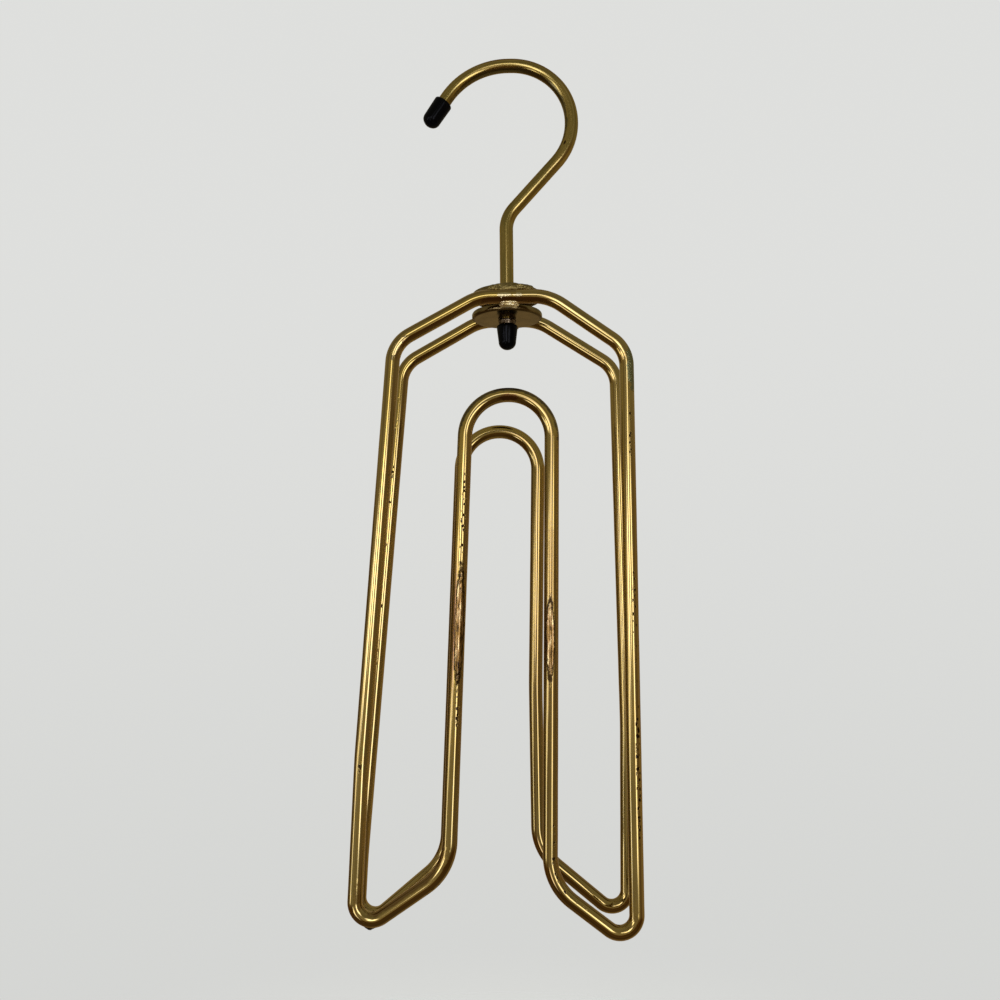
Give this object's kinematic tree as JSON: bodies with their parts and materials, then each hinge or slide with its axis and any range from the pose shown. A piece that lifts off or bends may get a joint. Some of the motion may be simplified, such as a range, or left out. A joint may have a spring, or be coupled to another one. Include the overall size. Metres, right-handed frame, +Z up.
{
  "type": "tie hanger",
  "caption": "Wire tie hanger: bent brass loops brazed to paired discs that swivel on the stem of a wire hook with black end caps.",
  "frame": {"origin": "inside of the hook's top, where the hanger sits on a rod", "axes": "+Z up along the stem, +X to the right seen from the front, the front loop faces -Y"},
  "size_m": [0.1022, 0.0362, 0.3156],
  "materials": {
    "hook_wire": "lacquered, slightly dull",
    "loop_wire": "lacquered, worn and spotted with tarnish",
    "disc": "polished, lacquered",
    "collar": "dark",
    "braze": "rough",
    "end_cap": "satin black soft vinyl"
  },
  "bodies": {
    "hook_body": {"hook": "hook_wire", "hook_tip_cap": "end_cap", "stem_end_cap": "end_cap", "retaining_collar": "collar"},
    "frame_body": {"upper_disc": "disc", "lower_disc": "disc", "front_loop": "loop_wire", "back_loop": "loop_wire", "front_upper_braze": "braze", "front_lower_braze": "braze", "back_upper_braze": "braze", "back_lower_braze": "braze"}
  },
  "joints": [
    {"name": "hook_swivel", "type": "hinge", "parent": "hook_body", "child": "frame_body", "pos_m": [-0.00124, 0, -0.0909], "axis": [0, 0, 1], "continuous": true}
  ]
}
